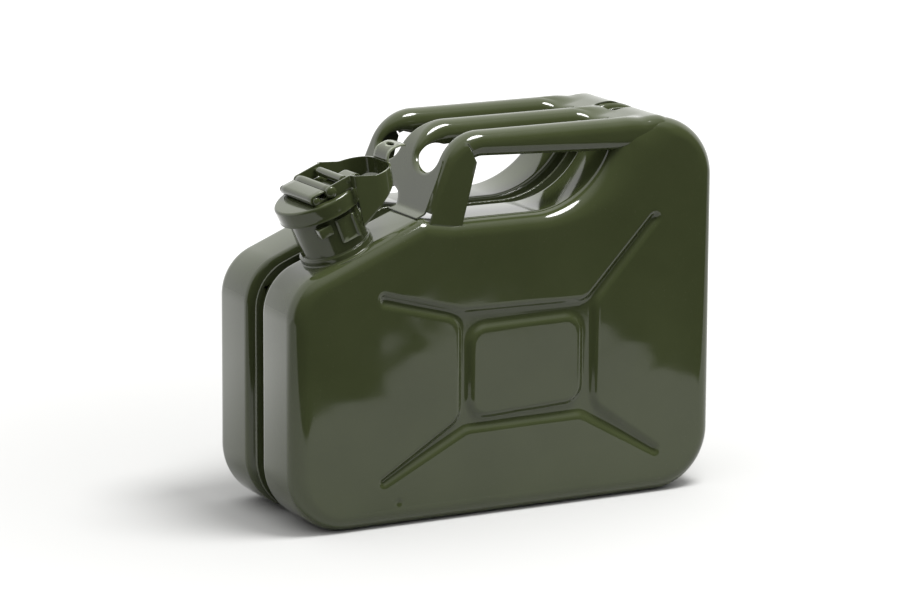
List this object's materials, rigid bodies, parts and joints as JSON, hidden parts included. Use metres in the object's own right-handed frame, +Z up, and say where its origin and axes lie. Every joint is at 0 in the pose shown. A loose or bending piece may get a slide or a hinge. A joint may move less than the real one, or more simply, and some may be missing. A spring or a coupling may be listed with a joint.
{
  "type": "metal jerry can",
  "caption": "Pressed steel fuel can with a recessed seam, three carrying bars and a hinged cap that a cam lever closes.",
  "frame": {"origin": "middle of the can's outline on the surface it stands on", "axes": "+X from the spout end to the rear end, +Y through the narrow depth, +Z up"},
  "size_m": [0.345, 0.13, 0.2815],
  "materials": {
    "olive_paint": "glossy dark olive green enamel",
    "bare_steel": "plain steel tube",
    "black_rubber": "matt black fuel-proof rubber"
  },
  "bodies": {
    "can": {"near_shell": "olive_paint", "far_shell": "olive_paint", "seam_weld_bead": "olive_paint", "front_bracket": "olive_paint", "handle_bar_near": "olive_paint", "handle_bar_middle": "olive_paint", "handle_bar_far": "olive_paint", "rear_saddle": "olive_paint", "filler_neck": "olive_paint", "neck_collar": "olive_paint", "breather_tube": "bare_steel", "hinge_ear_near": "olive_paint", "hinge_ear_far": "olive_paint", "hinge_pin": "olive_paint", "catch_lug_near": "olive_paint", "catch_lug_far": "olive_paint", "spout_lug_near": "olive_paint", "spout_lug_far": "olive_paint"},
    "lid": {"lid_cap": "olive_paint", "lid_gasket": "black_rubber", "lid_strap": "olive_paint", "strap_pin": "olive_paint", "hinge_strap": "olive_paint"},
    "lever": {"cam_lever": "olive_paint", "pivot_pin": "olive_paint", "pressure_roller": "olive_paint", "roller_pin": "olive_paint"}
  },
  "joints": [
    {"name": "lid_hinge", "type": "hinge", "parent": "can", "child": "lid", "pos_m": [-0.09932, -0.031, 0.24046], "axis": [0, 1, 0], "range_deg": [0, 72]},
    {"name": "lever_pivot", "type": "hinge", "parent": "lid", "child": "lever", "pos_m": [-0.13912, -0.031, 0.24737], "axis": [0, -1, 0], "range_deg": [0, 144]}
  ],
  "couplings": [
    {"joint": "lever_pivot", "follows": "lid_hinge", "ratio": 2}
  ]
}
